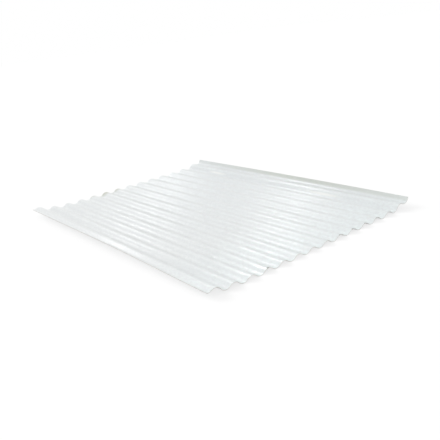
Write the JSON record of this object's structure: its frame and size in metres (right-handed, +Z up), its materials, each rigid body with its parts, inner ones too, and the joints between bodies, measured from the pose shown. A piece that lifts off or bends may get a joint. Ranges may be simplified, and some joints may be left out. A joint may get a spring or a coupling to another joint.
{
  "type": "corrugated plastic sheet",
  "caption": "Corrugated roofing sheet of pale glass-reinforced plastic, lying flat, with even round waves along its length and slightly warped long edges.",
  "frame": {"origin": "on the floor, under the middle of the sheet's length and width", "axes": "+X along the waves, +Y across them from the edge that is cut along a trough to the edge with the raised lip, +Z up"},
  "size_m": [1.5, 1.0946, 0.0479],
  "materials": {
    "grp_sheet": "pale milky glass-reinforced plastic, glossy, with a fine fibre mottle"
  },
  "bodies": {
    "root": {"sheet": "grp_sheet"}
  },
  "joints": []
}
